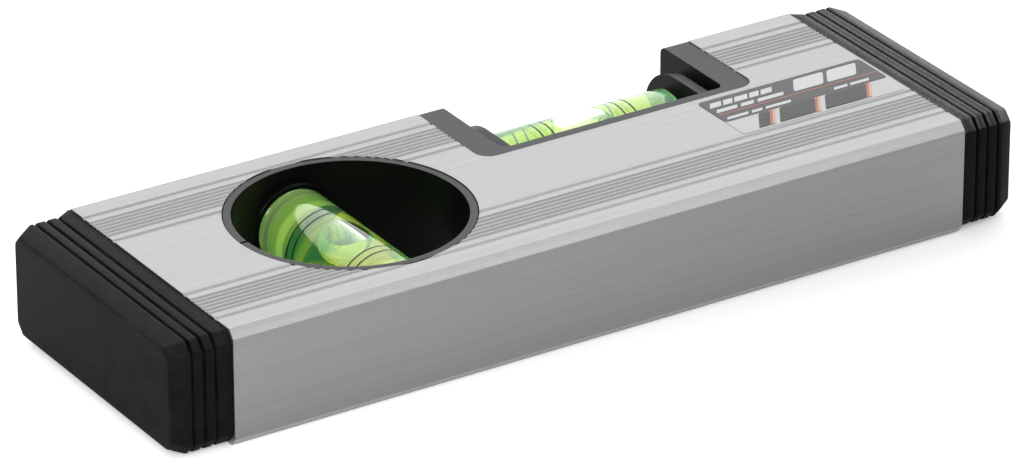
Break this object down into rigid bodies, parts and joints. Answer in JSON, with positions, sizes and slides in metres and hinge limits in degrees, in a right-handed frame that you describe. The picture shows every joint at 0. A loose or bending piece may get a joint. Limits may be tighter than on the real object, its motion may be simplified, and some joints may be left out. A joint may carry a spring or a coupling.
{
  "type": "box beam level",
  "caption": "Short box beam level with a hollow aluminium beam, rubber end caps, a plumb vial across a round window and a level vial in a notched edge.",
  "frame": {"origin": "bottom centre of the bounding box, on the lower broad face", "axes": "+X along the length towards the label end, +Y from the measuring face towards the notched edge, +Z out of the upper broad face"},
  "size_m": [0.15, 0.049, 0.0191],
  "materials": {
    "anodised_aluminium": "fine satin anodised",
    "cap_rubber": "matt moulded",
    "black_plastic": "moulded, slight sheen",
    "clear_acrylic": "polished clear",
    "green_liquid": "clear tinted liquid",
    "plug_acrylic": "clear tinted",
    "ring_ink": "matt ink",
    "label_film": "satin printed film"
  },
  "bodies": {
    "root": {"beam": "anodised_aluminium", "left_end_cap": "cap_rubber", "right_end_cap": "cap_rubber", "plumb_liner_near": "black_plastic", "plumb_liner_far": "black_plastic", "plumb_vial_body": "clear_acrylic", "plumb_vial_liquid": "green_liquid", "plumb_vial_plug": "plug_acrylic", "plumb_ring_1": "ring_ink", "plumb_ring_2": "ring_ink", "plumb_ring_3": "ring_ink", "plumb_ring_4": "ring_ink", "level_cradle": "black_plastic", "level_vial_body": "clear_acrylic", "level_vial_liquid": "green_liquid", "level_vial_plug": "plug_acrylic", "level_ring_1": "ring_ink", "level_ring_2": "ring_ink", "level_ring_3": "ring_ink", "level_ring_4": "ring_ink", "rating_label": "label_film"}
  },
  "joints": []
}
